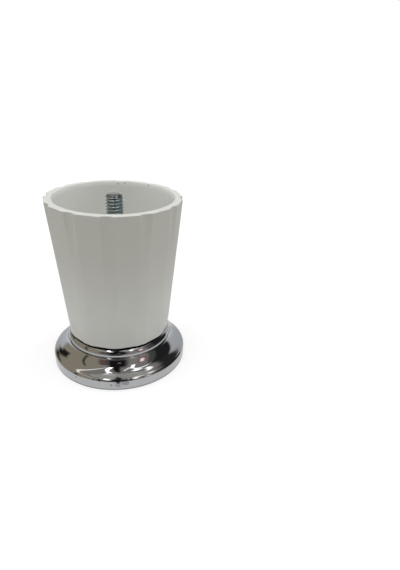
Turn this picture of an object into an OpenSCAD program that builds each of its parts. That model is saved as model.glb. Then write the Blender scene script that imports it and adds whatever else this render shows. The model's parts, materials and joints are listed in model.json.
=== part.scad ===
// Furniture leg: a tapered, twelve-sided white sleeve on a round plated base,
// clamped together by a long hexagon-head bolt whose thread stands up inside
// the sleeve and screws into the nut of a mounting plate.
//
// Units are millimetres. The origin is the centre of the base's underside,
// with +Z up along the leg's axis. One of the sleeve's arrises lies on +X.

/* [Sleeve] */
// Height of the sleeve's rim above the floor
leg_h = 78; // [60:1:110]
// Distance across two opposite flats at the rim
rim_flats = 57.2; // [54:0.2:66]
// Distance across two opposite flats at the sleeve's lower edge
foot_flats = 45.4; // [45:0.2:50]
// Number of flats round the sleeve
flats = 12; // [10:1:16]
// Rounding of the arrises, from 0 for sharp corners to 1 for a round sleeve
arris_soft = 0.6; // [0.2:0.05:0.9]
// Inner diameter of the rim, at the outer edge of its chamfer
mouth_d = 51.2; // [46:0.2:52]
// Height of the chamfer inside the rim
mouth_chamfer_h = 1.5; // [0.5:0.1:3]
// Width of the chamfer inside the rim
mouth_chamfer_w = 0.5; // [0.2:0.1:1]
// Wall thickness at the sleeve's floor, measured at a flat
sleeve_wall = 2.8; // [2:0.1:3.5]
// Thickness of the sleeve's floor
floor_t = 3; // [2:0.25:5]

/* [Arris grooves] */
// Radius of the round groove that runs down each arris from the rim
groove_r = 4.6; // [3.5:0.1:6]
// Depth of each groove at the rim, below the rounded arris
groove_depth = 1.1; // [0.6:0.1:1.5]
// Length over which each groove runs out
groove_run = 19; // [12:1:28]

/* [Sleeve floor] */
// Diameter of the raised pad under the washer
pad_d = 25; // [23:0.5:30]
// Height of the raised pad above the floor
pad_h = 1.5; // [0.5:0.25:4]
// Number of gussets between the pad and the wall
gussets = 6; // [4:1:8]
// Thickness of each gusset
gusset_t = 1.6; // [1.2:0.1:2.5]
// Height of each gusset above the floor, at the wall
gusset_h = 11; // [5:0.5:18]

/* [Base] */
// Diameter of the base at the floor
base_d = 62.2; // [60:0.2:68]
// Height of the upright band round the base
band_h = 4.3; // [3.5:0.1:5]
// Radius of the rounded edge above the band
band_edge_r = 1.5; // [1:0.1:2]
// Height of the shoulder that the sleeve stands over
shoulder_h = 15.3; // [14.5:0.1:18]
// Diameter of the neck under the shoulder
neck_d = 47.4; // [46.6:0.2:50]
// Radius of the bead round the neck
neck_bead_r = 1.7; // [1:0.1:2]
// Height above the floor at which the hollow curve starts, under the neck
cove_top_h = 11.3; // [10.5:0.1:12.5]
// Angle that the hollow curve turns through on its way down to the lip
cove_turn = 62; // [58:1:72]
// Wall thickness of the base
base_wall = 2.4; // [1.8:0.1:3]
// Diameter of the spigot that centres the sleeve
spigot_d = 39.6; // [34:0.2:39.8]
// Height of the spigot above the shoulder
spigot_h = 3.8; // [3:0.1:6]
// Open seam between the shoulder and the sleeve's lower edge
seam = 0.8; // [0.3:0.1:1.5]

/* [Base underside] */
// Number of ribs between the bolt boss and the outer wall
ribs = 8; // [6:1:12]
// Thickness of each rib
rib_t = 1.8; // [1.4:0.1:2.6]
// Diameter of the boss that holds the bolt's head
boss_d = 20.5; // [19:0.5:26]
// How far the boss and the ribs stop short of the floor
rib_lift = 1.2; // [0.5:0.1:2.5]
// Height above the floor at which the bolt's head bears
head_seat_h = 9.35; // [8:0.05:11]

/* [Bolt] */
// Thread's outer diameter
bolt_d = 7.94; // [7.8:0.02:8.2]
// Diameter of the plain shank, which is also the thread's mean diameter
shank_d = 7.02; // [6.6:0.02:7.4]
// Length of the bolt under its head
bolt_l = 69.85; // [60:0.05:80]
// Size of the bolt's head across its flats
head_flats = 12.7; // [12:0.1:13]
// Height of the bolt's head
head_h = 5.2; // [4.5:0.1:6]
// Width of the chamfer at the bolt's tip
tip_chamfer = 0.9; // [0.4:0.1:1.2]

/* [Washer and nut] */
// Outer diameter of the washer
washer_d = 22.2; // [18:0.1:22.8]
// Thickness of the washer
washer_t = 1.65; // [1:0.05:2.5]
// Size of the nut across its flats
nut_flats = 12.7; // [12:0.1:14]
// Height of the nut
nut_h = 6.75; // [5:0.05:8]

/* [Clearances] */
// Gap round the spigot inside the sleeve's skirt
spigot_fit = 0.25; // [0.15:0.05:0.5]
// Gap round the bolt in the holes that it passes through
bolt_fit = 0.25; // [0.15:0.05:0.5]
// Gap round the bolt's head in its pocket
head_fit = 0.2; // [0.1:0.05:0.4]
// Gap between the bolt and the nut, at the thread's mean diameter
thread_fit = 0.05; // [0.02:0.01:0.1]

/* [Hidden] */
$fn = 96;
// Overshoot of a cutting shape past the surface that it cuts
cut = 1;

// Heights, from the floor upwards
sleeve_z = shoulder_h + seam;
seat_z = shoulder_h + spigot_h;
floor_z = seat_z + floor_t;
pad_z = floor_z + pad_h;
nut_z = pad_z + washer_t;

// Sleeve: apothems, the ratio of an arris's radius to its apothem, and slopes
rim_a = rim_flats / 2;
foot_a = foot_flats / 2;
flat_h = leg_h - sleeve_z;
flat_tilt = atan((rim_a - foot_a) / flat_h);
arris = 1 + (1 / cos(180 / flats) - 1) * (1 - arris_soft);
rim_arris_r = rim_a * arris;
foot_arris_r = foot_a * arris;
arris_slope = (rim_arris_r - foot_arris_r) / flat_h;

// Sleeve: the round inside, from the floor to the mouth
wall_a = foot_a + (floor_z - sleeve_z) * tan(flat_tilt);
floor_r = wall_a - sleeve_wall;
mouth_r = mouth_d / 2;
throat_r = mouth_r - mouth_chamfer_w;
throat_z = leg_h - mouth_chamfer_h;
skirt_r = spigot_d / 2 + spigot_fit;

// Arris grooves: each floor line leaves the arris groove_run below the rim
groove_top_r = rim_arris_r - groove_depth;
groove_end_z = leg_h - groove_run;
groove_end_r = rim_arris_r - groove_run * arris_slope;
groove_tilt = atan((groove_top_r - groove_end_r) / groove_run);

// Base: the cove starts at a narrow ledge under the neck and ends on a lip
// that falls away to the rounded edge of the band
lip_fall = 15;
lip_w = 0.9;
ledge_w = 0.3;
base_r = base_d / 2;
edge_at = [base_r - band_edge_r, band_h];
lip_out = edge_at + band_edge_r * [sin(lip_fall), cos(lip_fall)];
lip_in = lip_out + lip_w * [-cos(lip_fall), sin(lip_fall)];
ledge = [neck_d / 2 + ledge_w, cove_top_h];
cove_chord = lip_in - ledge;
cove_r = norm(cove_chord) / (2 * sin(cove_turn / 2));
cove_at = (ledge + lip_in) / 2
    + cove_r * cos(cove_turn / 2) * [-cove_chord.y, cove_chord.x] / norm(cove_chord);
foot_chamfer = 0.4;

// Bolt and its holes. The thread is plain: it has its outer diameter where it
// stands free, and its mean diameter where it is engaged in the nut.
bolt_r = bolt_d / 2;
hole_r = bolt_r + bolt_fit;
tip_z = head_seat_h + bolt_l;
free_z = nut_z + nut_h;
// A hexagon's corner radius for one millimetre across its flats
hexagon = 1 / (2 * cos(30));
// Angle of the chamfers on the corners of the head and the nut
hex_chamfer = 30;

// ---- Sleeve ---------------------------------------------------------------

// Slab whose inner face lies on one flat of the sleeve
module flat_cutter() {
    reach = 10;
    width = 2 * rim_a;
    translate([foot_a, 0, sleeve_z])
        rotate([0, flat_tilt, 0])
            translate([0, -width / 2, -reach])
                cube([reach, width, flat_h + 2 * reach]);
}

// Round cutter for one arris groove, leaning out with its floor line
module groove_cutter() {
    above = 5;
    translate([groove_end_r, 0, groove_end_z])
        rotate([0, groove_tilt, 0])
            translate([groove_r, 0, -above])
                cylinder(r = groove_r, h = groove_run + 2 * above);
}

// Tapered body with flats, softened arrises and the grooves that run out
module sleeve_body() {
    difference() {
        translate([0, 0, sleeve_z])
            cylinder(r1 = foot_arris_r, r2 = rim_arris_r, h = flat_h);
        for (i = [0 : flats - 1]) {
            rotate([0, 0, (i + 0.5) * 360 / flats]) flat_cutter();
            rotate([0, 0, i * 360 / flats]) groove_cutter();
        }
    }
}

// Round inside of the sleeve, above its floor
module sleeve_hollow() {
    rotate_extrude()
        polygon([
            [0, floor_z],
            [floor_r, floor_z],
            [throat_r, throat_z],
            [mouth_r, leg_h],
            [mouth_r + mouth_chamfer_w, leg_h + mouth_chamfer_h],
            [0, leg_h + mouth_chamfer_h]
        ]);
}

// Gussets from the pad to the wall, with the pad itself
module floor_stiffening() {
    translate([0, 0, floor_z - cut]) cylinder(d = pad_d, h = pad_h + cut);
    for (i = [0 : gussets - 1])
        rotate([90, 0, (i + 0.5) * 360 / gussets])
            linear_extrude(gusset_t, center = true)
                polygon([
                    [hole_r, floor_z - cut],
                    [rim_a, floor_z - cut],
                    [rim_a, floor_z + gusset_h],
                    [throat_r, floor_z + gusset_h],
                    [pad_d / 2, pad_z],
                    [hole_r, pad_z]
                ]);
}

module fluted_sleeve() {
    color("whitesmoke")
        difference() {
            sleeve_body();
            difference() {
                sleeve_hollow();
                floor_stiffening();
            }
            // Recess that drops over the base's spigot
            translate([0, 0, sleeve_z - cut])
                cylinder(r = skirt_r, h = seat_z - sleeve_z + cut);
            translate([0, 0, sleeve_z])
                cylinder(r = hole_r, h = pad_z - sleeve_z + cut);
        }
}

// ---- Base -----------------------------------------------------------------

// Half-section of the base's outside
module base_outline() {
    difference() {
        union() {
            polygon([
                [0, 0],
                [base_r - foot_chamfer, 0],
                [base_r, foot_chamfer],
                [base_r, edge_at.y],
                [0, edge_at.y]
            ]);
            translate(edge_at) circle(band_edge_r);
            difference() {
                polygon([
                    [0, 0],
                    edge_at,
                    lip_out,
                    lip_in,
                    [lip_in.x, ledge.y],
                    [0, ledge.y]
                ]);
                translate(cove_at) circle(cove_r);
            }
            square([neck_d / 2, shoulder_h - neck_bead_r]);
            translate([neck_d / 2 - neck_bead_r, shoulder_h - neck_bead_r])
                circle(neck_bead_r);
            square([neck_d / 2 - neck_bead_r, shoulder_h]);
            square([spigot_d / 2, seat_z]);
        }
        translate([-base_r, -cut]) square([base_r, seat_z + 2 * cut]);
    }
}

// Half-section of the hollow underneath, an even wall inside the outline
module base_hollow_outline() {
    difference() {
        polygon([
            [0, -cut],
            [base_r - base_wall, -cut],
            [base_r - base_wall, shoulder_h - base_wall],
            [spigot_d / 2 - base_wall, shoulder_h - base_wall],
            [spigot_d / 2 - base_wall, seat_z - base_wall],
            [0, seat_z - base_wall]
        ]);
        translate(cove_at) circle(cove_r + base_wall);
    }
}

// Bolt boss and radial ribs, standing in the hollow
module base_stiffening() {
    translate([0, 0, rib_lift]) cylinder(d = boss_d, h = seat_z);
    for (i = [0 : ribs - 1])
        rotate([0, 0, (i + 0.5) * 360 / ribs])
            translate([0, -rib_t / 2, rib_lift])
                cube([base_r, rib_t, seat_z]);
}

module chrome_base() {
    color("silver")
        difference() {
            rotate_extrude() base_outline();
            difference() {
                rotate_extrude() base_hollow_outline();
                base_stiffening();
            }
            // Hexagonal pocket for the bolt's head, and the bolt's hole
            translate([0, 0, -cut])
                cylinder(r = (head_flats + 2 * head_fit) * hexagon, h = head_seat_h + cut, $fn = 6);
            cylinder(r = hole_r, h = seat_z + cut);
        }
}

// ---- Bolt, washer and nut -------------------------------------------------

// Hexagon with its corners chamfered at both ends where asked
module hex_block(across, h, low, high) {
    drop = (across * hexagon - across / 2) * tan(hex_chamfer);
    intersection() {
        cylinder(r = across * hexagon, h = h, $fn = 6);
        rotate_extrude()
            polygon([
                [0, 0],
                [across / 2, 0],
                [across * hexagon, low ? drop : 0],
                [across * hexagon, h - (high ? drop : 0)],
                [across / 2, h],
                [0, h]
            ]);
    }
}

module stud_bolt() {
    color("lightslategray") {
        translate([0, 0, head_seat_h - head_h]) hex_block(head_flats, head_h, true, false);
        translate([0, 0, head_seat_h - cut])
            cylinder(d = shank_d, h = free_z - head_seat_h + 2 * cut);
        translate([0, 0, free_z])
            cylinder(r = bolt_r, h = tip_z - tip_chamfer - free_z);
        translate([0, 0, tip_z - tip_chamfer])
            cylinder(r1 = bolt_r, r2 = bolt_r - tip_chamfer, h = tip_chamfer);
    }
}

module washer() {
    color("lightsteelblue")
        translate([0, 0, pad_z])
            difference() {
                cylinder(d = washer_d, h = washer_t);
                translate([0, 0, -cut]) cylinder(r = hole_r, h = washer_t + 2 * cut);
            }
}

module clamp_nut() {
    color("slategray")
        translate([0, 0, nut_z])
            difference() {
                hex_block(nut_flats, nut_h, true, true);
                translate([0, 0, -cut]) cylinder(d = shank_d + 2 * thread_fit, h = nut_h + 2 * cut);
            }
}

fluted_sleeve();
chrome_base();
stud_bolt();
washer();
clamp_nut();
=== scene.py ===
"""Dresses the furniture leg: a faceted white sleeve, a chromed base and a zinc-plated stud.

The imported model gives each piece's lowest and highest points and the base's
radius; the other sizes repeat those of the solid model. The sleeve, the base
and the stud are rebuilt with their small rounded edges and the stud's thread,
by geometry node trees that move the rows of a flat grid along a section.
"""

import json
import logging
import math
from dataclasses import dataclass, fields
from enum import Enum
from types import SimpleNamespace
from typing import Callable, Optional, Sequence, Union

import bpy
from mathutils import Matrix, Vector

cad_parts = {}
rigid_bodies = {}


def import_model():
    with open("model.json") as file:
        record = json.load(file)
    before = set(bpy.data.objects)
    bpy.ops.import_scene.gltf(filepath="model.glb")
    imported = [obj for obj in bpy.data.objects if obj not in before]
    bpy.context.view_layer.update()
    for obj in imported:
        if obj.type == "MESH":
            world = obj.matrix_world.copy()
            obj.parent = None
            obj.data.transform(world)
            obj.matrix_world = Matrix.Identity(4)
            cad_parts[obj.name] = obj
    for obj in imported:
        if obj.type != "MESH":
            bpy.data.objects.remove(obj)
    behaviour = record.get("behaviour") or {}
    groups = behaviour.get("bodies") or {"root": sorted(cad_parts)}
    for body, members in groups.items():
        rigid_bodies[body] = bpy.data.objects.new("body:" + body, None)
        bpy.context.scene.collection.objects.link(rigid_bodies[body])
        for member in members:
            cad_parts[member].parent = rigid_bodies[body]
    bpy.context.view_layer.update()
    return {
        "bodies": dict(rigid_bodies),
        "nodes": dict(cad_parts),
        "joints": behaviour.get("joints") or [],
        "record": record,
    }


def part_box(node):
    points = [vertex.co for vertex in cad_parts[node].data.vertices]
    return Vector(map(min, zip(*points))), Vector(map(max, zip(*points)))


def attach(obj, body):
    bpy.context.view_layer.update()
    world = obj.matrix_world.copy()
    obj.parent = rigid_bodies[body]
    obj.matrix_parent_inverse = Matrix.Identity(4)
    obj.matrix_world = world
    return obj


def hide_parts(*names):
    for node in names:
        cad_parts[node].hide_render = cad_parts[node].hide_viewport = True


LOG = logging.getLogger("furniture_leg")

MM = 0.001
BODY = "root"

Tree = bpy.types.NodeTree
Socket = bpy.types.NodeSocket
Inputs = Optional[dict[object, object]]
Colour = tuple[float, float, float]


# ---- Fields: numbers of a node tree, written as formulas


def math_method(operation: str, swap: bool = False) -> Callable[..., "Field"]:
    """Makes a method of Field that adds one math node.

    Args:
        operation: The math node's operation.
        swap: Whether the field is the last of the node's inputs, and not the first.

    Returns:
        The method.
    """

    def method(self: "Field", *others: "Number") -> "Field":
        """Adds the node and gives its result."""
        return calculate(self.tree, operation, *((*others, self) if swap else (self, *others)))

    return method


@dataclass(frozen=True)
class Field:
    """A number of a node tree, which may change from point to point.

    size is the absolute value, and fraction is what is over a whole number. at_least and
    at_most give the larger and the smaller of two, and soft_max and soft_min do the same,
    rounded over where the two meet.
    """

    tree: Tree
    socket: Socket

    __add__ = __radd__ = math_method("ADD")
    __sub__, __rsub__ = math_method("SUBTRACT"), math_method("SUBTRACT", swap=True)
    __mul__ = __rmul__ = math_method("MULTIPLY")
    __truediv__, __rtruediv__ = math_method("DIVIDE"), math_method("DIVIDE", swap=True)
    sin, cos = math_method("SINE"), math_method("COSINE")
    arc_sin, arc_cos, arc_tan = (math_method(f"ARC{name}") for name in ("SINE", "COSINE", "TANGENT"))
    size, fraction = math_method("ABSOLUTE"), math_method("FRACT")
    nearest_whole, whole_below = math_method("ROUND"), math_method("FLOOR")
    exceeds = math_method("GREATER_THAN")
    at_least, at_most = math_method("MAXIMUM"), math_method("MINIMUM")
    soft_min, soft_max = math_method("SMOOTH_MIN"), math_method("SMOOTH_MAX")

    def __neg__(self) -> "Field":
        """Negative."""
        return self * -1.0

    def root(self) -> "Field":
        """Square root, 0 under 0."""
        return calculate(self.tree, "SQRT", self.at_least(0.0))

    def share(self, start: "Number", end: "Number") -> "Field":
        """0 before start, 1 after end, and even steps between."""
        return ((self - start) / (end - start)).at_least(0.0).at_most(1.0)

    def ease(self, start: "Number", end: "Number") -> "Field":
        """0 before start, 1 after end, and a soft step between."""
        part = self.share(start, end)
        return part * part * (3.0 - part * 2.0)


Number = Union[Field, float]


def feed(tree: Tree, value: object, socket: Socket) -> None:
    """Gives an input a plain value or the output of another node.

    Args:
        tree: The tree that holds the input.
        value: A field, an output, or a number, vector, colour or data-block.
        socket: The input to set or link.
    """
    if isinstance(value, Field):
        value = value.socket
    if isinstance(value, Socket):
        tree.links.new(value, socket)
    else:
        socket.default_value = (*value, 1.0) if socket.type == "RGBA" else value


def add_node(tree: Tree, kind: str, inputs: Inputs = None, **settings: object) -> bpy.types.Node:
    """Adds a node.

    Args:
        tree: The tree to add it to.
        kind: The node's type.
        inputs: What its inputs get, by their names or numbers.
        settings: The node's properties.

    Returns:
        The node.
    """
    node = tree.nodes.new(kind)
    for name, value in settings.items():
        setattr(node, name, value)
    for name, value in (inputs or {}).items():
        feed(tree, value, node.inputs[name])
    return node


def calculate(tree: Tree, operation: str, *values: Number) -> Field:
    """Adds one math node.

    Args:
        tree: The tree to add it to.
        operation: The math node's operation.
        values: Its inputs, in order.

    Returns:
        The node's result.
    """
    node = add_node(tree, "ShaderNodeMath", dict(enumerate(values)), operation=operation)
    return Field(tree, node.outputs[0])


def split(tree: Tree, vector: Socket) -> list[Field]:
    """Gives a vector's x, y and z."""
    node = add_node(tree, "ShaderNodeSeparateXYZ", {0: vector})
    return [Field(tree, socket) for socket in node.outputs]


def blend(start: Number, end: Number, share: Field) -> Field:
    """The number that lies a share of the way from start to end."""
    return share * (end - start) + start


def put(name: str, data: bpy.types.ID) -> bpy.types.Object:
    """Puts new data into the scene as an object."""
    holder = bpy.data.objects.new(name, data)
    bpy.context.scene.collection.objects.link(holder)
    return holder


# ---- Sections: how the rows of a grid go round a solid's profile


class Leave(Enum):
    """The direction in which a rounded corner starts."""

    UPRIGHT = "along the height"
    LEVEL = "along the radius"


@dataclass
class Section:
    """A point that goes along a section as its row number goes up.

    Attributes:
        row: The row number.
        radius: The point's distance from the axis.
        height: The point's height.
        rows: How many rows have been used.
    """

    row: Field
    radius: Number
    height: Number
    rows: int = 0

    def take(self, rows: int) -> Field:
        """Uses the next rows and returns how far along them the point is."""
        start = float(self.rows)
        self.rows += rows
        return self.row.share(start, float(self.rows))

    def line(self, radius: Number, height: Number, rows: int = 1) -> Field:
        """Goes straight to a place.

        Args:
            radius: The place's radius.
            height: The place's height.
            rows: The rows to use.

        Returns:
            How far along the line the point is.
        """
        part = self.take(rows)
        self.radius = blend(self.radius, radius, part)
        self.height = blend(self.height, height, part)
        return part

    def corner(self, radius: Number, height: Number, leave: Leave, rows: int = 3) -> None:
        """Goes to a place along a quarter of an ellipse.

        Args:
            radius: The place's radius.
            height: The place's height.
            leave: The direction in which it starts.
            rows: The rows to use.
        """
        turn = self.take(rows) * (math.pi / 2)
        early, late = turn.sin(), 1.0 - turn.cos()
        upright = leave is Leave.UPRIGHT
        self.radius = blend(self.radius, radius, late if upright else early)
        self.height = blend(self.height, height, early if upright else late)

    def arc(self, arc_radius: float, start: float, end: float, rows: int) -> None:
        """Goes along a part of a circle that starts where the point is.

        Args:
            arc_radius: The circle's radius.
            start: The angle of the start, in degrees from level outwards.
            end: The angle of the end.
            rows: The rows to use.
        """
        first = math.radians(start)
        angle = self.take(rows) * math.radians(end - start) + first
        self.radius = self.radius + (angle.cos() - math.cos(first)) * arc_radius
        self.height = self.height + (angle.sin() - math.sin(first)) * arc_radius


# ---- Geometry node trees


@dataclass
class GridSolid:
    """A piece whose geometry node tree wraps a flat grid round an axis into a solid.

    Attributes:
        name: The name of the tree and of the piece.
        material: The finish of the piece.
        sizes: A dataclass of millimetres, each of which becomes a named input.
        columns: Faces round the axis.
    """

    name: str
    material: bpy.types.Material
    sizes: object
    columns: int

    WELD = 0.000002
    SHARP_ANGLE = 38.0

    def __post_init__(self) -> None:
        """Starts the tree: its inputs, its grid and the point's column and row numbers."""
        self.tree = bpy.data.node_groups.new(self.name, "GeometryNodeTree")
        self.tree.interface.new_socket("Mesh", in_out="OUTPUT", socket_type="NodeSocketGeometry")
        inlet = self.node("NodeGroupInput")
        self.values: dict[str, float] = {}
        self.size = SimpleNamespace()
        for entry in fields(self.sizes):
            socket = self.tree.interface.new_socket(
                entry.name, in_out="INPUT", socket_type="NodeSocketFloat")
            self.values[socket.identifier] = getattr(self.sizes, entry.name) * MM
            setattr(self.size, entry.name, Field(self.tree, inlet.outputs[entry.name]))
        self.row_count = self.node("ShaderNodeValue")
        rows = Field(self.tree, self.row_count.outputs[0])
        self.grid = self.run("GeometryNodeMeshGrid", {
            "Size X": float(self.columns), "Size Y": rows,
            "Vertices X": self.columns + 1, "Vertices Y": rows + 1.0})
        across, along, _ = split(self.tree, self.run("GeometryNodeInputPosition"))
        self.column = (across + self.columns / 2).nearest_whole()
        self.section = Section((along + rows * 0.5).nearest_whole(), 0.0, 0.0)

    def node(self, kind: str, inputs: Inputs = None, **settings: object) -> bpy.types.Node:
        """Adds a node to the tree."""
        return add_node(self.tree, kind, inputs, **settings)

    def run(self, kind: str, inputs: Inputs = None, **settings: object) -> Socket:
        """Adds a node to the tree and gives its first output."""
        return self.node(kind, inputs, **settings).outputs[0]

    def start(self, radius: Number, height: Number) -> tuple[Section, SimpleNamespace]:
        """Puts the section at its first place.

        Args:
            radius: The place's radius.
            height: The place's height.

        Returns:
            The section, and the sizes in metres by their names.
        """
        self.section.radius, self.section.height = radius, height
        return self.section, self.size

    def even_angle(self) -> Field:
        """Gives each point's angle round the axis, where all columns are as wide."""
        return self.column * (math.tau / self.columns)

    def hexagon(self, apothem: Field) -> Field:
        """Gives the radius of a hexagon that has a corner at column 0."""
        within = (self.column * (6.0 / self.columns)).fraction()
        return apothem / ((within - 0.5) * (math.pi / 3)).cos()

    def vector(self, x: Number, y: Number, z: Number) -> Socket:
        """Joins three numbers into a vector."""
        return self.run("ShaderNodeCombineXYZ", {0: x, 1: y, 2: z})

    def place(self, mesh: Socket, at: Socket) -> Socket:
        """Moves a mesh's points."""
        return self.run("GeometryNodeSetPosition", {"Geometry": mesh, "Position": at})

    def weld(self, mesh: Socket) -> Socket:
        """Joins points that lie at the same place."""
        return self.run("GeometryNodeMergeByDistance", {"Geometry": mesh, "Distance": self.WELD})

    def wrap(self, angle: Field) -> Socket:
        """Puts the grid's points round the axis, along the section, and welds the seams.

        Args:
            angle: Each point's angle round the axis, in radians.

        Returns:
            The closed mesh.
        """
        section = self.section
        self.row_count.outputs[0].default_value = section.rows
        at = self.vector(angle.cos() * section.radius, angle.sin() * section.radius, section.height)
        return self.weld(self.place(self.grid, at))

    def fins(self, outline: Sequence[tuple[float, float]], thickness: float, count: int) -> Socket:
        """Adds a ring of upright fins, the first one half a step past +X.

        Args:
            outline: Corners of one fin as radius and height in millimetres, anticlockwise.
            thickness: The fin's thickness in millimetres.
            count: The number of fins.

        Returns:
            The fins as one mesh.
        """
        index = Field(self.tree, self.run("GeometryNodeInputIndex"))
        radius: Number = 0.0
        height: Number = 0.0
        for number, (corner_radius, corner_height) in enumerate(outline):
            here = calculate(self.tree, "COMPARE", index, float(number), 0.5)
            radius = here * (corner_radius * MM) + radius
            height = here * (corner_height * MM) + height
        corners = self.run("GeometryNodeMeshCircle", {"Vertices": len(outline)}, fill_type="NGON")
        face = self.place(corners, self.vector(radius, thickness * MM / 2, height))
        thick = self.run("GeometryNodeExtrudeMesh", {
            "Mesh": face, "Offset": (0.0, -1.0, 0.0), "Offset Scale": thickness * MM}, mode="FACES")
        both = self.node("GeometryNodeJoinGeometry")
        for mesh in (thick, self.run("GeometryNodeFlipFaces", {0: face})):
            feed(self.tree, mesh, both.inputs[0])
        turn = self.vector(0.0, 0.0, (index + 0.5) * (math.tau / count))
        ring = self.run("GeometryNodeInstanceOnPoints", {
            "Points": self.run("GeometryNodeMeshLine", {"Count": count, "Offset": (0.0, 0.0, 0.0)}),
            "Instance": self.weld(both.outputs[0]),
            "Rotation": self.run("FunctionNodeEulerToRotation", {0: turn})})
        return self.run("GeometryNodeRealizeInstances", {0: ring})

    def unite(self, *meshes: Socket) -> Socket:
        """Makes closed meshes that overlap one closed mesh."""
        union = self.node("GeometryNodeMeshBoolean", operation="UNION", solver="MANIFOLD")
        for mesh in meshes:
            feed(self.tree, mesh, union.inputs["Mesh 2"])
        return union.outputs["Mesh"]

    def finish(self, mesh: Socket) -> bpy.types.Object:
        """Ends the tree, runs it and keeps its result as a plain mesh.

        Args:
            mesh: The closed mesh.

        Returns:
            The piece, at the origin, with no modifier.
        """
        smooth = self.run("GeometryNodeSetShadeSmooth", {"Geometry": mesh}, domain="FACE")
        bend = Field(self.tree, self.node("GeometryNodeInputMeshEdgeAngle").outputs["Unsigned Angle"])
        edged = self.run("GeometryNodeSetShadeSmooth", {
            "Geometry": smooth, "Selection": bend.exceeds(math.radians(self.SHARP_ANGLE)),
            "Shade Smooth": False}, domain="EDGE")
        real = self.run("GeometryNodeRealizeInstances", {0: edged})
        dressed = self.run("GeometryNodeSetMaterial", {"Geometry": real, "Material": self.material})
        self.node("NodeGroupOutput", {0: dressed})

        piece = put(self.name, bpy.data.meshes.new(self.name + "_start"))
        modifier = piece.modifiers.new("shape", "NODES")
        modifier.node_group = self.tree
        for identifier, value in self.values.items():
            modifier[identifier] = value
        graph = bpy.context.evaluated_depsgraph_get()
        shape = bpy.data.meshes.new_from_object(piece.evaluated_get(graph))
        piece.modifiers.clear()
        piece.data = shape
        shape.name = self.name
        return piece


# ---- Pieces


@dataclass(frozen=True)
class SleeveSizes:
    """Sizes of the sleeve, in millimetres."""

    foot_height: float = 16.1
    rim_height: float = 78.0
    rim_apothem: float = 28.6
    foot_apothem: float = 22.7
    groove_radius: float = 4.6
    groove_depth: float = 1.1
    groove_run: float = 19.0
    mouth_radius: float = 25.6
    chamfer_height: float = 1.5
    chamfer_width: float = 0.5
    floor_height: float = 22.1
    floor_radius: float = 20.47
    floor_fillet: float = 1.2
    pad_height: float = 23.6
    pad_radius: float = 12.5
    seat_height: float = 19.1
    skirt_radius: float = 20.05
    hole_radius: float = 4.22
    edge_round: float = 0.22
    crease_round: float = 0.05
    crease_reach: float = 0.35


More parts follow.
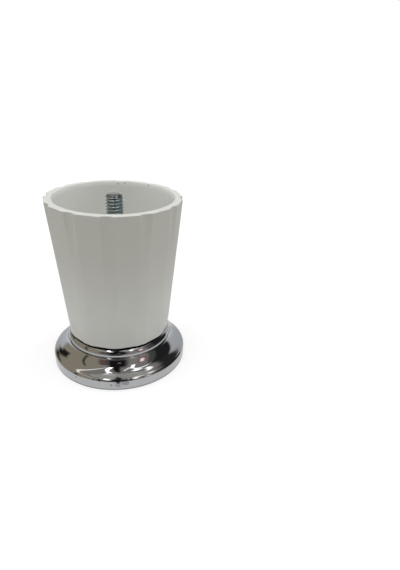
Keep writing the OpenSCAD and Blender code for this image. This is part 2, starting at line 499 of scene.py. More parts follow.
@dataclass
class Sleeve(GridSolid):
    """The white moulded sleeve, with twelve flats and grooved arrises."""

    flats: int = 12
    arris_softness: float = 0.6
    gussets: int = 6
    gusset_thickness: float = 1.6
    gusset_height: float = 11.0
    top_band: float = 2.0
    inner_edge: float = 0.15
    groove_columns: int = 4
    crease_columns: int = 6

    def build(self) -> bpy.types.Object:
        """Makes the sleeve.

        Returns:
            The finished piece.
        """
        edge = self.size.edge_round
        section, size = self.start(-edge, self.size.foot_height)
        section.corner(0.0, size.foot_height + edge, Leave.LEVEL)
        section.line(0.0, size.rim_height - self.top_band * MM, 60)
        section.line(0.0, size.rim_height - edge, 6)
        section.corner(-edge, size.rim_height, Leave.UPRIGHT, 4)

        angle, outer = self._wall(section.height)
        section.radius = outer + section.radius
        self._inside()
        foot_angle, foot_outer = self._wall(size.foot_height)
        homewards = section.line(foot_outer - edge, size.foot_height, 2)
        closed = self.wrap(blend(angle, foot_angle, homewards))
        gussets = self.fins(self._gusset(), self.gusset_thickness, self.gussets)
        return self.finish(self.unite(closed, gussets))

    def _wall(self, height: Number) -> tuple[Field, Field]:
        """Works out the outer wall.

        Args:
            height: The height of the point.

        Returns:
            The point's angle round the axis, and the wall's radius there.
        """
        size, column = self.size, self.column
        half = self.columns // (2 * self.flats)
        step = math.pi / self.flats
        rise = size.rim_height - size.foot_height
        up = (height - size.foot_height) / rise
        apothem = blend(size.foot_apothem, size.rim_apothem, up)
        stretch = 1 + (1 / math.cos(step) - 1) * (1 - self.arris_softness)
        arris = apothem * stretch
        rim_arris = size.rim_apothem * stretch
        slope = (rim_arris - size.foot_apothem * stretch) / rise
        run = size.groove_run
        floor_slope = (run * slope - size.groove_depth) / run
        below = size.rim_height - height
        centre = rim_arris - size.groove_depth - below * floor_slope + size.groove_radius

        # Where the groove, or else the softened arris, meets the flat
        off = centre * math.cos(step) - apothem
        reach = (size.groove_radius * size.groove_radius - off * off).root()
        on_flat = centre * math.sin(step) - reach
        groove_edge = step - (on_flat / apothem).arc_tan()
        arris_edge = step - (apothem / arris).arc_cos()
        crease = groove_edge.at_least(arris_edge)

        # Columns crowd round that crease
        sector = ((column + 0.5) / (2.0 * half)).whole_below()
        within = column - sector * (2.0 * half)
        past = within.exceeds(half + 0.5)
        near = within.at_most(2.0 * half - within)
        spread = size.crease_reach / apothem
        first, second = float(self.groove_columns), float(self.groove_columns + self.crease_columns)
        turn = (
            (crease - spread) * near.share(0.0, first)
            + spread * 2.0 * near.share(first, second)
            + (step - crease - spread) * near.share(second, float(half))
        )
        angle = (sector + past) * (2 * step) + turn * (1.0 - past * 2.0)

        flat = apothem / (step - turn).cos()
        swing = centre * turn.sin()
        floor = (size.groove_radius * size.groove_radius - swing * swing).root()
        groove = centre * turn.cos() - floor
        soft = size.crease_round
        return angle, flat.soft_min(arris, soft).soft_min(groove, soft)

    def _inside(self) -> None:
        """Takes the section from the rim's outer edge down the inside, out through the skirt."""
        section, size = self.section, self.size
        edge = self.inner_edge * MM
        rim, mouth = size.rim_height, size.mouth_radius
        throat = mouth - size.chamfer_width
        throat_height = rim - size.chamfer_height
        fillet = size.floor_fillet
        taper = (throat - size.floor_radius) / (throat_height - size.floor_height)
        section.line(mouth + edge, rim, 8)
        section.corner(mouth - edge / 4, rim - edge, Leave.LEVEL)
        section.line(throat + edge / 4, throat_height + edge)
        section.line(throat - taper * edge, throat_height - edge)
        section.line(size.floor_radius + taper * fillet, size.floor_height + fillet, 24)
        section.corner(size.floor_radius - fillet, size.floor_height, Leave.UPRIGHT, 5)
        section.line(size.pad_radius + edge, size.floor_height, 4)
        section.corner(size.pad_radius, size.floor_height + edge, Leave.LEVEL)
        section.line(size.pad_radius, size.pad_height - edge)
        section.corner(size.pad_radius - edge, size.pad_height, Leave.UPRIGHT)
        section.line(size.hole_radius, size.pad_height, 3)
        section.line(size.hole_radius, size.seat_height)
        section.line(size.skirt_radius, size.seat_height, 3)
        section.line(size.skirt_radius, size.foot_height, 2)

    def _gusset(self) -> list[tuple[float, float]]:
        """Gives the outline of one gusset between the pad and the wall."""
        s = self.sizes
        taper = (s.mouth_radius - s.chamfer_width - s.floor_radius) / (
            s.rim_height - s.chamfer_height - s.floor_height)
        sunk = 1.0
        top = s.floor_height + self.gusset_height
        return [
            (s.pad_radius - 2 * sunk, s.floor_height - sunk),
            (s.floor_radius + sunk, s.floor_height - sunk),
            (s.floor_radius + taper * self.gusset_height + sunk, top),
            (s.floor_radius + taper * self.gusset_height - sunk / 2, top),
            (s.pad_radius, s.pad_height - sunk / 10),
            (s.pad_radius - 2 * sunk, s.pad_height - sunk / 10),
        ]


@dataclass(frozen=True)
class BaseSizes:
    """Sizes of the base, in millimetres."""

    radius: float = 31.1
    foot_round: float = 0.4
    band_height: float = 4.3
    band_edge: float = 1.5
    lip_width: float = 0.9
    cove_top: float = 11.3
    ledge_width: float = 0.3
    neck_radius: float = 23.7
    bead_width: float = 1.7
    bead_lift: float = 1.4
    shoulder_height: float = 15.3
    spigot_radius: float = 19.8
    spigot_height: float = 19.1
    wall: float = 2.4
    boss_radius: float = 10.25
    boss_foot: float = 1.2
    head_seat: float = 9.35
    pocket_apothem: float = 6.55
    hole_radius: float = 4.22
    edge_round: float = 0.12


@dataclass(frozen=True)
class Cove:
    """The hollow curve of the base's section, in millimetres and degrees."""

    centre_radius: float
    centre_height: float
    radius: float
    lip_angle: float
    ledge_angle: float


@dataclass
class Base(GridSolid):
    """The chromed base: neck bead, cove, lip and band outside, ribs and boss beneath."""

    lip_fall: float = 15.0
    cove_turn: float = 62.0
    ribs: int = 8
    rib_thickness: float = 1.8

    def build(self) -> bpy.types.Object:
        """Makes the base.

        Returns:
            The finished piece.
        """
        inner_foot = self.size.radius - self.size.wall + self.size.foot_round
        section, _ = self.start(inner_foot, 0.0)
        self._outside()
        self._bore()
        self._hollow()
        section.corner(inner_foot, 0.0, Leave.UPRIGHT)
        ribs = self.fins(self._rib(), self.rib_thickness, self.ribs)
        return self.finish(self.unite(self.wrap(self.even_angle()), ribs))

    def _cove(self) -> Cove:
        """Works out the circle that runs from the lip up to the ledge under the neck."""
        s = self.sizes
        fall, half_turn = math.radians(self.lip_fall), math.radians(self.cove_turn / 2)
        lip = Vector((
            s.radius - s.band_edge + s.band_edge * math.sin(fall) - s.lip_width * math.cos(fall),
            s.band_height + s.band_edge * math.cos(fall) + s.lip_width * math.sin(fall),
        ))
        ledge = Vector((s.neck_radius + s.ledge_width, s.cove_top))
        chord = lip - ledge
        radius = chord.length / (2 * math.sin(half_turn))
        inwards = Vector((-chord.y, chord.x)).normalized()
        centre = (lip + ledge) / 2 + inwards * radius * math.cos(half_turn)
        angles = (math.degrees(math.atan2(p.y - centre.y, p.x - centre.x)) for p in (lip, ledge))
        return Cove(centre.x, centre.y, radius, *angles)

    def _outside(self) -> None:
        """Takes the section from the floor up to the spigot's top."""
        section, size = self.section, self.size
        s, cove = self.sizes, self._cove()
        edge = size.edge_round
        fall = math.radians(self.lip_fall)

        section.line(size.radius - size.foot_round, 0.0, 2)
        section.corner(size.radius, size.foot_round, Leave.LEVEL, 4)
        section.line(size.radius, size.band_height, 3)
        section.arc(s.band_edge * MM, 0.0, 90.0 - self.lip_fall, 12)
        section.line(section.radius - s.lip_width * MM * math.cos(fall),
                     section.height + s.lip_width * MM * math.sin(fall), 2)
        section.arc(cove.radius * MM, cove.lip_angle, cove.ledge_angle, 44)
        neck, ledge_height = size.neck_radius, size.cove_top
        section.corner(neck + size.ledge_width - edge, ledge_height + edge, Leave.UPRIGHT)
        section.line(neck - size.ledge_width, ledge_height + edge)
        section.corner(neck + edge, ledge_height + size.bead_lift, Leave.LEVEL, 8)
        section.corner(neck - size.bead_width, size.shoulder_height, Leave.UPRIGHT, 14)
        section.line(size.spigot_radius + edge, size.shoulder_height, 2)
        section.line(size.spigot_radius, size.shoulder_height + edge)
        section.line(size.spigot_radius, size.spigot_height - edge * 2)
        section.corner(size.spigot_radius - edge * 2, size.spigot_height, Leave.UPRIGHT)

    def _bore(self) -> None:
        """Takes the section from the spigot's top down the bolt's hole and hexagonal pocket."""
        section, size = self.section, self.size
        hexagon = self.hexagon(size.pocket_apothem)
        section.line(size.hole_radius, size.spigot_height, 4)
        section.line(size.hole_radius, size.head_seat, 2)
        section.line(hexagon, size.head_seat)
        section.line(hexagon, size.boss_foot)

    def _hollow(self) -> None:
        """Takes the section from the pocket round the boss and under the wall to the floor."""
        section, size = self.section, self.size
        s, cove = self.sizes, self._cove()
        ceiling = s.shoulder_height - s.wall
        reach = cove.radius + s.wall
        start = math.degrees(math.asin((cove.centre_height - ceiling) / reach)) - 180.0
        inner = s.radius - s.wall
        end = -90.0 - math.degrees(math.asin((cove.centre_radius - inner) / reach))
        roof = size.spigot_height - size.wall
        section.line(size.boss_radius, size.boss_foot)
        section.line(size.boss_radius, roof)
        section.line(size.spigot_radius - size.wall, roof)
        section.line(size.spigot_radius - size.wall, ceiling * MM)
        section.line((cove.centre_radius + reach * math.cos(math.radians(start))) * MM, ceiling * MM)
        section.arc(reach * MM, start, end, 20)
        section.line(inner * MM, size.foot_round)

    def _rib(self) -> list[tuple[float, float]]:
        """Gives the outline of one rib, which ends inside the walls round the hollow."""
        s, cove = self.sizes, self._cove()
        middle = cove.radius + s.wall / 2
        inner, outer = s.boss_radius - 1.0, s.radius - s.wall / 2
        corners = [(inner, s.boss_foot), (outer, s.boss_foot)]
        for degrees in range(-100, -171, -10):
            turn = math.radians(degrees)
            radius = min(cove.centre_radius + middle * math.cos(turn), outer)
            corners.append((radius, cove.centre_height + middle * math.sin(turn)))
        return corners + [
            (s.spigot_radius - s.wall / 2, s.shoulder_height - s.wall / 2),
            (s.spigot_radius - s.wall / 2, s.spigot_height - s.wall / 2),
            (inner, s.spigot_height - s.wall / 2),
        ]


@dataclass(frozen=True)
class BoltSizes:
    """Sizes of the stud bolt, in millimetres."""

    head_foot: float = 4.15
    head_seat: float = 9.35
    head_apothem: float = 6.35
    shank_radius: float = 3.51
    thread_start: float = 32.0
    tip: float = 79.2
    thread_radius: float = 3.97
    thread_depth: float = 0.78
    pitch: float = 1.411
    tip_chamfer: float = 0.4
    tip_round: float = 1.2
    thread_end: float = 0.5


@dataclass
class StudBolt(GridSolid):
    """The zinc-plated bolt, whose right-hand thread stands free inside the sleeve."""

    rows_per_turn: int = 12
    tip_lean: float = 1.5
    chamfer_softness: float = 0.15

    def build(self) -> bpy.types.Object:
        """Makes the bolt.

        Returns:
            The finished piece.
        """
        section, size = self.start(0.0, self.size.head_foot)
        self._head()
        section.line(size.shank_radius, size.head_seat)
        section.line(size.shank_radius, size.thread_start, 6)
        self._thread()
        tip_radius = section.radius - size.tip_round * self.tip_lean
        section.corner(tip_radius, size.tip, Leave.UPRIGHT, 6)
        section.line(0.0, size.tip, 4)
        return self.finish(self.wrap(self.even_angle()))

    def _head(self) -> None:
        """Takes the section from the middle of the underside round the hexagonal head."""
        section, size = self.section, self.size
        apothem = size.head_apothem
        hexagon = self.hexagon(apothem)
        corner = apothem / math.cos(math.pi / 6)
        drop = (corner - apothem) * math.tan(math.pi / 6)
        section.line(apothem, size.head_foot, 3)
        for share in (0.25, 0.5, 0.75, 1.0):
            cone = apothem + (corner - apothem) * share
            section.line(hexagon.at_most(cone), size.head_foot + drop * share)
        section.line(hexagon, size.head_seat, 2)

    def _thread(self) -> None:
        """Takes the section up the thread, in rows that climb one pitch each turn."""
        section, size, s = self.section, self.size, self.sizes
        turns = (s.tip - s.tip_round - s.thread_start) / s.pitch + 1.0
        rows = math.ceil(turns * self.rows_per_turn)
        on = section.take(1)
        count = section.take(rows) * float(rows)
        climb = self.column * (1.0 / self.columns)
        pitch = size.pitch
        risen = count * (pitch / self.rows_per_turn) + (climb - 1.0) * pitch
        tip_edge = size.tip - size.tip_round
        height = (size.thread_start + risen.at_least(0.0)).at_most(tip_edge)
        phase = ((height - size.thread_start) / pitch - climb + 1.0).fraction()
        from_crest = ((phase - 0.5).size() * -2.0) + 1.0
        run_out = ((tip_edge - height) / size.thread_end).at_most(1.0)
        valley = self._flank(from_crest) * run_out
        radius = size.thread_radius - size.thread_depth * valley
        tip_cone = size.thread_radius - size.tip_chamfer + (tip_edge - height)
        radius = radius.soft_min(tip_cone, self.chamfer_softness * MM)
        section.radius = blend(section.radius, radius, on)
        section.height = blend(section.height, height, on)

    @staticmethod
    def _flank(from_crest: Field) -> Field:
        """Gives the depth of the thread between a crest and a root.

        Args:
            from_crest: 0 at the middle of a crest, 1 at the middle of a root.

        Returns:
            0 on the crest, 1 in the root, with both rounded.
        """
        crest, root, soft = 0.13, 0.82, 0.2
        rise = (from_crest - crest) / (root - crest)
        return rise.soft_min(1.0, soft).soft_max(0.0, soft)


# ---- Finishes


class ShadeGroup:
    """A shader node group with named inputs and outputs, built once."""

    def __init__(self, name: str, inputs: dict[str, float], outputs: Sequence[str]) -> None:
        """Starts the group.

        Args:
            name: The group's name.
            inputs: The default of each input.
            outputs: The names of the outputs.
        """
        self.tree = bpy.data.node_groups.new(name, "ShaderNodeTree")
        for label, value in inputs.items():
            socket = self.tree.interface.new_socket(label, in_out="INPUT", socket_type="NodeSocketFloat")
            socket.default_value = value
        for label in outputs:
            self.tree.interface.new_socket(label, in_out="OUTPUT", socket_type="NodeSocketFloat")
        self.inlet = self.tree.nodes.new("NodeGroupInput")
        self.outlet = self.tree.nodes.new("NodeGroupOutput")

    def value(self, name: str) -> Field:
        """Gives one of the inputs."""
        return Field(self.tree, self.inlet.outputs[name])

    def give(self, name: str, value: Field) -> None:
        """Sends a result to one of the outputs."""
        feed(self.tree, value, self.outlet.inputs[name])

    def place_in(self, tree: Tree, **values: float) -> dict[str, Field]:
        """Puts the group into a material.

        Args:
            tree: The material's tree.
            values: The inputs to set, with _ for each space in a name.

        Returns:
            The outputs by name.
        """
        inputs = {name.replace("_", " ").capitalize(): value for name, value in values.items()}
        node = add_node(tree, "ShaderNodeGroup", inputs, node_tree=self.tree)
        return {socket.name: Field(tree, socket) for socket in node.outputs}


def grey(level: float) -> Colour:
    """Gives a grey, or a light without a tint."""
    return (level, level, level)


def object_place(tree: Tree) -> Socket:
    """Gives the object coordinates of the point that is shaded."""
    return tree.nodes.new("ShaderNodeTexCoord").outputs["Object"]


def noise(tree: Tree, grain: Number, detail: float = 2.0) -> Field:
    """Adds a noise that is fixed to the object.

    Args:
        tree: The tree to add it to.
        grain: Lumps per metre.
        detail: How many finer layers it has.

    Returns:
        A number about 0.5.
    """
    inputs = {"Detail": detail, "Scale": grain, "Vector": object_place(tree)}
    return Field(tree, add_node(tree, "ShaderNodeTexNoise", inputs).outputs["Fac"])


def surface_group() -> ShadeGroup:
    """Builds the uneven surface of a moulded or plated skin: long waves under a fine grain.

    Returns:
        The group, whose Height is in metres and whose Tone is about 0.
    """
    group = ShadeGroup(
        "uneven_skin",
        {"Wave size": 0.01, "Wave height": 0.0, "Grain size": 0.001, "Grain height": 0.0},
        ("Height", "Tone"),
    )
    waves = noise(group.tree, 1.0 / group.value("Wave size")) - 0.5
    grain = noise(group.tree, 1.0 / group.value("Grain size"), 3.0) - 0.5
    group.give("Height", waves * group.value("Wave height") + grain * group.value("Grain height"))
    group.give("Tone", waves + grain * 0.5)
    return group


def spot_group() -> ShadeGroup:
    """Builds a small mark with a ragged edge at a fixed place on the object.

    Returns:
        The group, whose Mask is 1 inside the mark.
    """
    group = ShadeGroup(
        "ragged_spot",
        {"Place x": 0.0, "Place y": 0.0, "Place z": 0.0, "Reach": 0.001, "Rag": 0.4},
        ("Mask",),
    )
    total: Number = 0.0
    for axis, place in zip("xyz", split(group.tree, object_place(group.tree))):
        off = place - group.value(f"Place {axis}")
        total = off * off + total
    core = 0.55
    reach = group.value("Reach")
    ragged = (noise(group.tree, 2.0 / reach, 3.0) - 0.5) * group.value("Rag")
    distance = total.root() / reach + ragged
    group.give("Mask", 1.0 - distance.ease(core, 1.0))
    return group


def mix_colour(tree: Tree, start: object, end: object, share: Number) -> Socket:
    """Mixes two colours.

    Args:
        tree: The tree to add the node to.
        start: A colour or the socket that gives it.
        end: The other colour or socket.
        share: How much of the other colour.

    Returns:
        The mixed colour.
    """
    node = add_node(tree, "ShaderNodeMix", {"Factor": share}, data_type="RGBA")
    for value, socket in zip((start, end), [s for s in node.inputs if s.type == "RGBA"]):
        feed(tree, value, socket)
    return next(s for s in node.outputs if s.type == "RGBA")


# How far the sleeve's outer wall leans out for each unit of its height, about
WALL_LEAN = 0.09


@dataclass(frozen=True)
class Mark:
    """A speck, a smudge or a painted dark reflection on a surface: its place in millimetres, its reach
    and strength.
    """

    place: tuple[float, float, float]
    reach: float
    strength: float
    rag: float = 0.4


class Measure(Enum):
    """What a layer's limits are measured along."""

    HEIGHT = "height over the floor"
    RADIUS = "distance from the axis"
    WALL = "distance from the axis, less what the wall leans out below it"


@dataclass(frozen=True)
class Limit:
    """Where a tint comes in, from not at all at start to full at full, in millimetres."""

    measure: Measure
    start: float
    full: float


@dataclass(frozen=True)
class Layer:
    """A tint where every one of its limits is passed."""

    colour: Colour
    limits: tuple[Limit, ...]
    strength: float = 1.0


@dataclass(frozen=True)
class Finish:
    """A surface finish, made into a material with procedural variation."""

    name: str
    colour: Colour
    second_colour: Colour
    roughness: float
    roughness_swing: float
    metallic: float
    wave: tuple[float, float]
    grain: tuple[float, float]
    mark_colour: Colour = (0.1, 0.09, 0.08)
    mark_roughness: float = 0.7
    cloud_edge: tuple[float, float] = (0.3, 0.7)
    marks: tuple[Mark, ...] = ()
    layers: tuple[Layer, ...] = ()

    def material(self, skin: ShadeGroup, spot: ShadeGroup) -> bpy.types.Material:
        """Builds the material.

        Args:
            skin: The group for uneven skins.
            spot: The group for marks.

        Returns:
            The material.
        """
        material = bpy.data.materials.new(self.name)
        material.use_nodes = True
        tree = material.node_tree
        shader = next(n for n in tree.nodes if n.type == "BSDF_PRINCIPLED")
        uneven = skin.place_in(
            tree,
            wave_size=self.wave[0] * MM, wave_height=self.wave[1] * MM,
            grain_size=self.grain[0] * MM, grain_height=self.grain[1] * MM,
        )
        tone = uneven["Tone"]
        clouds = (tone + 0.5).ease(*self.cloud_edge)
        colour = mix_colour(tree, self.colour, self.second_colour, clouds)
        roughness = tone * self.roughness_swing + self.roughness
        for layer in self.layers:
            share: Number = layer.strength
            for limit in layer.limits:
                passed = self._measured(tree, limit.measure).ease(limit.start * MM, limit.full * MM)
                share = passed * share
            colour = mix_colour(tree, colour, layer.colour, share)
        for mark in self.marks:
            x, y, z = (c * MM for c in mark.place)
            mask = spot.place_in(
                tree, place_x=x, place_y=y, place_z=z, reach=mark.reach * MM, rag=mark.rag)["Mask"]
            mask = mask * mark.strength
            colour = mix_colour(tree, colour, self.mark_colour, mask)
            roughness = blend(roughness, self.mark_roughness, mask)
        bump = add_node(tree, "ShaderNodeBump", {
            "Strength": 1.0, "Distance": 1.0, "Height": uneven["Height"]}).outputs[0]
        skin_values = {"Metallic": self.metallic, "Roughness": roughness, "Normal": bump}
        for name, value in {"Base Color": colour, **skin_values}.items():
            feed(tree, value, shader.inputs[name])
        return material

    @staticmethod
    def _measured(tree: Tree, measure: Measure) -> Field:
        """Gives the height or the distance from the axis of the shaded point."""
        x, y, z = split(tree, object_place(tree))
        radius = (x * x + y * y).root()
        return {Measure.HEIGHT: z, Measure.RADIUS: radius, Measure.WALL: radius - z * WALL_LEAN}[measure]


# ---- Studio


@dataclass(frozen=True)
class Panel:
    """A soft-edged patch of the surroundings, placed by direction in degrees.

    Azimuths count from the direction towards the camera, anticlockwise from above.
    """

    azimuth: float
    elevation: float
    half_width: float
    half_height: float
    colour: Colour
    soft: float = 6.0
    lean: float = 0.0
    bow: float = 0.0


@dataclass(frozen=True)
class Lamp:
    """A soft round lamp, placed by direction as a panel is, in degrees, metres and watts."""

    name: str
    azimuth: float
    elevation: float
    distance: float
    width: float
    power: float


def direction(turn: float, rise: float) -> Vector:
    """Gives the direction at an azimuth and an elevation, in radians."""
    return Vector((math.cos(turn) * math.cos(rise), math.sin(turn) * math.cos(rise), math.sin(rise)))


@dataclass
class Studio:
    """Floor, surroundings, lamps and camera."""

    camera_place: tuple[float, float, float] = (20.90, -185.92, 128.73)
    camera_azimuth: float = -83.5
    heading: float = 84.72
    pitch: float = -26.32
    roll: float = 2.795
    focal_pixels: float = 443.0
    image_width: float = 400.0
    sensor: float = 36.0
    white: Colour = grey(1.0)
    sky: Colour = (0.15, 0.15, 0.149)
    floor_colour: Colour = (0.70, 0.70, 0.69)
    shadow_colour: Colour = grey(0.55)
    floor_glow: Colour = grey(0.62)
    mirrored_floor: Colour = (0.74, 0.74, 0.75)
    near_floor: float = 0.05
    near_floor_edge: float = 0.01
    lit_floor: float = 0.6
    floor_half_side: float = 3.0
    panels: Sequence[Panel] = ()
    lamps: Sequence[Lamp] = ()
    aim_height: float = 0.05

    def camera(self) -> None:
        """Makes the camera and puts it in use."""
        lens = bpy.data.cameras.new("camera")
        lens.sensor_fit = "HORIZONTAL"
        lens.sensor_width = self.sensor
        lens.lens = self.sensor * self.focal_pixels / self.image_width
        lens.clip_start = 0.01
        turn, tilt, roll = (math.radians(a) for a in (self.heading, self.pitch, self.roll))
        forward = direction(turn, tilt)
        level = Vector((math.sin(turn), -math.cos(turn), 0.0))
        upright = level.cross(forward)
        right = level * math.cos(roll) + upright * math.sin(roll)
        up = upright * math.cos(roll) - level * math.sin(roll)
        frame = Matrix((right, up, -forward)).transposed().to_4x4()
        frame.translation = Vector(self.camera_place) * MM
        holder = put("camera", lens)
        holder.matrix_world = frame
        bpy.context.scene.camera = holder

    def floor(self) -> None:
        """Makes the pale floor, which the lens sees white and the chrome sees grey."""
        mesh = bpy.data.meshes.new("floor")
        side = self.floor_half_side
        corners = [(x * side, y * side, 0.0) for x, y in ((-1, -1), (1, -1), (1, 1), (-1, 1))]
        mesh.from_pydata(corners, [], [(0, 1, 2, 3)])
        mesh.materials.append(self._floor_material())
        floor = put("floor", mesh)

    def _floor_material(self) -> bpy.types.Material:
        """Makes the floor's material."""
        material = bpy.data.materials.new("pale_floor")
        material.use_nodes = True
        tree = material.node_tree
        tree.nodes.clear()
        x, y, _ = split(tree, object_place(tree))
        distance = (x * x + y * y).root()
        lit = distance.ease(self.lit_floor / 3, self.lit_floor)
        glow = mix_colour(tree, self.floor_glow, self.white, lit)
        seen = add_node(tree, "ShaderNodeAddShader", {
            0: self._shader(tree, "ShaderNodeBsdfDiffuse", self.shadow_colour),
            1: self._shader(tree, "ShaderNodeEmission", glow)}).outputs[0]
        edge = self.near_floor_edge
        far = distance.ease(self.near_floor - edge, self.near_floor + edge)
        mirrored = self._mix(
            tree, self._shader(tree, "ShaderNodeEmission", self.mirrored_floor),
            self._shader(tree, "ShaderNodeBsdfTransparent", self.white), far)
        plain = self._shader(tree, "ShaderNodeBsdfDiffuse", self.floor_colour)
        add_node(tree, "ShaderNodeOutputMaterial", {"Surface": self._by_ray(tree, plain, mirrored, seen)})
        return material

    @staticmethod
    def _shader(tree: Tree, kind: str, colour: object) -> Socket:
        """Adds a shader of one colour, which is a colour or the socket that gives it."""
        return add_node(tree, kind, {"Color": colour}).outputs[0]

    @staticmethod
    def _mix(tree: Tree, first: Socket, second: Socket, share: object) -> Socket:
        """Mixes two shaders."""
        return add_node(tree, "ShaderNodeMixShader", {0: share, 1: first, 2: second}).outputs[0]

    def _by_ray(self, tree: Tree, plain: Socket, mirrored: Socket, seen: Socket) -> Socket:
        """Shows a surface in one way to each kind of ray.

        Args:
            tree: The surface's tree.
            plain: What soft light meets.
            mirrored: What gloss mirrors.
            seen: What the lens sees, straight or through glass.

        Returns:
            The shader.
        """
        path = tree.nodes.new("ShaderNodeLightPath").outputs
        result = self._mix(tree, plain, mirrored, path["Is Glossy Ray"])
        for ray in ("Is Transmission Ray", "Is Camera Ray"):
            result = self._mix(tree, result, seen, path[ray])
        return result

    def world(self) -> None:
        """Makes the surroundings: white to the lens, even for soft light, a room for gloss."""
        world = bpy.data.worlds.new("studio")
        bpy.context.scene.world = world
        world.use_nodes = True
        tree = world.node_tree
        tree.nodes.clear()
        soft, room, white = (
            self._shader(tree, "ShaderNodeBackground", colour)
            for colour in (self.sky, self._room(tree), self.white))
        add_node(tree, "ShaderNodeOutputWorld", {"Surface": self._by_ray(tree, soft, room, white)})

    def _room(self, tree: Tree) -> Socket:
        """Makes the room that shiny surfaces mirror.

        Args:
            tree: The world's tree.

        Returns:
            The room's colour in the direction of the ray.
        """
        x, y, z = split(tree, tree.nodes.new("ShaderNodeTexCoord").outputs["Generated"])
        turn = math.radians(self.camera_azimuth)
        ahead = x * math.cos(turn) + y * math.sin(turn)
        aside = y * math.cos(turn) - x * math.sin(turn)
        azimuth = calculate(tree, "ARCTAN2", aside, ahead) * math.degrees(1.0)
        elevation = z.at_most(1.0).at_least(-1.0).arc_sin() * math.degrees(1.0)
        colour: object = self.white
        for panel in self.panels:
            turned = calculate(tree, "WRAP", azimuth - panel.azimuth, 180.0, -180.0)
            off_side = (turned - (elevation - panel.elevation) * panel.lean).size() - panel.half_width
            aside_share = turned / panel.half_width
            off_height = (elevation - panel.elevation + aside_share * aside_share * panel.bow).size()
            off_height = off_height - panel.half_height
            inside = (1.0 - off_side.ease(-panel.soft / 2, panel.soft / 2)) * (
                1.0 - off_height.ease(-panel.soft / 2, panel.soft / 2))
            colour = mix_colour(tree, colour, panel.colour, inside)
        return colour

    def light(self) -> None:
        """Hangs the soft lamps round the object, none of them mirrored in it."""
        for lamp in self.lamps:
            light = bpy.data.lights.new(lamp.name, "AREA")
            light.shape = "DISK"
            light.size = lamp.width
            light.energy = lamp.power
            holder = put(lamp.name, light)
            turn = math.radians(self.camera_azimuth + lamp.azimuth)
            away = direction(turn, math.radians(lamp.elevation))
            holder.location = Vector((0.0, 0.0, self.aim_height)) + away * lamp.distance
            holder.rotation_euler = away.to_track_quat("Z", "Y").to_euler()
            holder.visible_glossy = False


# ---- This leg

HEIGHT, RADIUS, WALL = Measure

WHITE_PLASTIC = Finish(
    name="white_plastic",
    colour=(0.86, 0.857, 0.812),
    second_colour=(0.83, 0.827, 0.78),
    roughness=0.42,
    roughness_swing=0.16,
    metallic=0.0,
    wave=(14.0, 0.012),
    grain=(0.7, 0.0012),
    layers=(
        # Painted shade: the wall is painted darker from 22 mm up to 66 mm and above, lighter towards the
        # foot
        Layer((0.685, 0.675, 0.61), (Limit(HEIGHT, 22.0, 66.0),), 0.9),
        # Painted light: the inside of the cup is painted whiter, for light through the thin wall and
        # bounced round the hollow
        Layer((0.92, 0.92, 0.875), (Limit(WALL, 20.3, 19.6),)),
        # Painted light: the chamfer inside the mouth, which faces up, is painted whiter still
        Layer((0.95, 0.95, 0.92), (Limit(WALL, 20.3, 19.6), Limit(HEIGHT, 76.3, 76.6))),
        # The rim's top takes back the plain colour, out of the painted shade
        Layer((0.86, 0.86, 0.82), (Limit(HEIGHT, 77.85, 77.97),)),
        # Painted shadow: the sleeve's underside, from 16.6 mm down, is painted black for the shade in the
        # gap over the base
        Layer((0.02, 0.02, 0.018), (Limit(HEIGHT, 16.6, 16.15),)),
    ),
    marks=(
        Mark((-0.95, 25.3, 77.0), 0.4, 0.6, 0.8),
        Mark((-0.1, 25.3, 76.9), 0.3, 0.4, 0.8),
        Mark((2.3, 25.2, 77.4), 0.4, 0.6, 0.8),
        Mark((13.6, 21.4, 77.6), 0.7, 0.35, 1.2),
    ),
)
CHROME = Finish(
    name="mirror_chrome",
    colour=(0.55, 0.555, 0.56),
    second_colour=(0.53, 0.535, 0.54),
    roughness=0.05,
    roughness_swing=0.04,
    metallic=1.0,
    wave=(9.0, 0.002),
    grain=(1.2, 0.0002),
    mark_colour=grey(0.03),
    mark_roughness=0.35,
    # Dark marks on the front of the lip and band: the ones along the lip's edge, near 5 mm up, are
    # painted dark reflection; the lower ones on the band are smudges
    marks=(
        Mark((1.6, -31.0, 5.6), 2.1, 1.0, 1.0),
        Mark((4.4, -30.8, 4.4), 2.2, 0.4, 2.0),
        Mark((-1.3, -31.1, 2.9), 0.75, 0.4, 2.0),
        Mark((1.6, -31.0, 3.0), 1.6, 0.3, 1.4),
        Mark((7.2, -30.2, 5.2), 0.9, 0.7, 1.0),
        Mark((-6.5, -30.4, 5.2), 1.0, 0.7),
        Mark((-9.2, -29.7, 5.0), 0.5, 0.6),
        Mark((-17.0, -26.0, 3.6), 0.5, 0.6),
        Mark((12.3, -28.5, 5.3), 0.7, 0.6),
    ),
    layers=(
        # Painted shadow: the shoulder and spigot, from 15.12 mm up, are painted black for the shade in
        # the gap under the sleeve
        Layer(grey(0.012), (Limit(HEIGHT, 15.12, 15.26),)),
        # Painted shadow: a dark line round the band, just over its rounded foot, for the contact shade at
        # the floor
        Layer((0.16, 0.16, 0.155), (Limit(HEIGHT, 0.95, 0.75), Limit(HEIGHT, 0.4, 0.6)), 0.8),
    ),
)
ZINC = Finish(
    name="zinc_plate",
    colour=(0.52, 0.60, 0.60),
    second_colour=(0.46, 0.54, 0.54),
    roughness=0.2,
    roughness_swing=0.06,
    metallic=0.78,
    wave=(3.0, 0.0006),
    grain=(0.35, 0.0004),
    layers=(
        # Painted shade: the thread's roots, inside 3.65 mm radius and below the tip, are painted darker
        Layer((0.14, 0.19, 0.19), (Limit(RADIUS, 3.65, 3.25), Limit(HEIGHT, 78.1, 77.9)), 0.75),
        Layer((0.24, 0.25, 0.24), (Limit(HEIGHT, 77.9, 78.2),)),
    ),
)

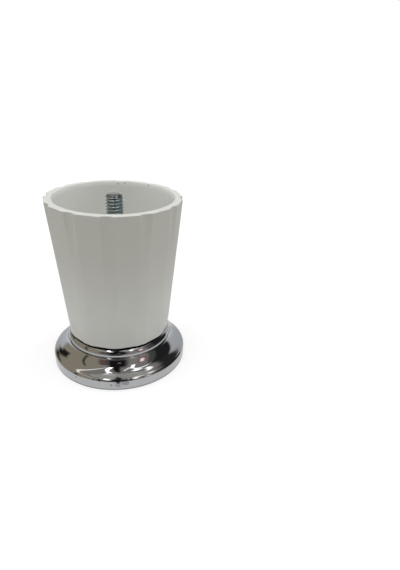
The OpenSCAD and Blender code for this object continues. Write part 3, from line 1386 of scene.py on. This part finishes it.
ROOM = (
    # Ceiling, walls and the far floor
    Panel(0, 72, 200, 40, (0.28, 0.262, 0.257), soft=14),
    Panel(0, -20, 165, 11, grey(0.42)),
    Panel(10, 10, 145, 24, (0.30, 0.28, 0.27), soft=10),
    Panel(180, 28, 30, 16, (0.60, 0.62, 0.59), soft=10),
    # Olive wall on the left, with its door frame and a dark corner
    Panel(-100, 22, 52, 36, (0.36, 0.32, 0.25), soft=8),
    Panel(-79, 16, 3.2, 29, (0.08, 0.075, 0.055), soft=4, lean=-0.25),
    Panel(-135, 24, 13, 10, (0.02, 0.018, 0.014), soft=8, lean=-0.8),
    Panel(-152, 0, 13, 20, (0.62, 0.64, 0.68), soft=10),
    # Dark middle, behind the lens
    Panel(-36, 12, 9, 18, (0.16, 0.11, 0.09), soft=10),
    Panel(-8, 18, 20, 26, (0.014, 0.011, 0.012), soft=16),
    Panel(-13, 50, 10, 30, (0.012, 0.011, 0.012), soft=10, lean=-0.1),
    Panel(-4, 16, 3, 4, (0.30, 0.20, 0.18), soft=4),
    Panel(-12, -16, 14, 12, grey(0.10), soft=12),
    # Dark opening on the right, with a pale patch before it
    Panel(46, 14, 13, 20, (0.26, 0.20, 0.19)),
    Panel(43, 16, 4, 10, (1.5, 1.2, 1.2), soft=7),
    Panel(68, 12, 10, 32, (0.09, 0.09, 0.085), soft=8),
    Panel(96, 16, 22, 36, (0.022, 0.022, 0.024), soft=10),
    Panel(130, 47, 26, 9, grey(0.03), soft=8),
    Panel(140, 6, 20, 28, (0.56, 0.575, 0.60), soft=10),
    # Lights and window strips overhead
    Panel(-100, 60, 66, 0.9, (1.5, 1.5, 1.45), soft=2.2, bow=15),
    Panel(-95, 78, 45, 1.2, grey(1.6), soft=3, bow=8),
    Panel(-42, 62, 5, 17, grey(5.0), soft=4, lean=-1.06),
    Panel(26, 48, 3.5, 10, grey(4.0), soft=4),
    Panel(14, 62, 3.0, 10, grey(1.5), soft=4, lean=-0.6),
    Panel(48, 64, 22, 2.2, grey(2.4), soft=4, bow=10),
    Panel(60, 72, 16, 4, grey(2.6)),
    Panel(115, 66, 28, 2.5, grey(2.0), soft=4),
)
LAMPS = (
    Lamp("overhead", -10, 80, 0.9, 1.6, 8.0),
    Lamp("left_window", -105, 25, 1.0, 0.8, 1.6),
    Lamp("right_window", 100, 25, 1.0, 0.8, 1.9),
)


def heights(node: str) -> tuple[float, float]:
    """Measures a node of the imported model.

    Args:
        node: The node's name.

    Returns:
        Its lowest and highest points' heights, in millimetres.
    """
    low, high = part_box(node)
    return low.z / MM, high.z / MM


def packed_sizes() -> tuple[SleeveSizes, BaseSizes, BoltSizes]:
    """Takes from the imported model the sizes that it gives.

    Returns:
        The sleeve's, the base's and the bolt's sizes.
    """
    sleeve_foot, sleeve_rim = heights("fluted_sleeve")
    _, spigot_height = heights("chrome_base")
    head_foot, tip = heights("stud_bolt")
    _, base_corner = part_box("chrome_base")
    return (
        SleeveSizes(foot_height=sleeve_foot, rim_height=sleeve_rim),
        BaseSizes(radius=base_corner.x / MM, spigot_height=spigot_height),
        BoltSizes(head_foot=head_foot, tip=tip),
    )


def main() -> None:
    """Builds the leg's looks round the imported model."""
    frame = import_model()
    bpy.context.scene.view_settings.view_transform = "Standard"

    studio = Studio(panels=ROOM, lamps=LAMPS)
    studio.camera()
    studio.floor()
    studio.world()
    studio.light()

    skin, spot = surface_group(), spot_group()
    plastic, chrome, zinc = (finish.material(skin, spot) for finish in (WHITE_PLASTIC, CHROME, ZINC))

    sleeve_sizes, base_sizes, bolt_sizes = packed_sizes()
    solids = (
        (Sleeve("white_sleeve", plastic, sleeve_sizes, 336), "fluted_sleeve", "white_plastic"),
        (Base("chrome_foot", chrome, base_sizes, 288), "chrome_base", "chrome"),
        (StudBolt("threaded_stud", zinc, bolt_sizes, 96), "stud_bolt", "zinc_steel"),
    )
    for solid, node, slot in solids:
        piece = solid.build()
        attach(piece, BODY)
        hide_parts(node)
        LOG.info("%s: %d faces", piece.name, len(piece.data.polygons))
    for node in ("washer", "clamp_nut"):
        frame["nodes"][node].material_slots[0].material = zinc
        LOG.info("%s dressed in zinc", node)


if __name__ == "__main__":
    logging.basicConfig(level=logging.INFO, format="%(name)s: %(message)s")
    main()
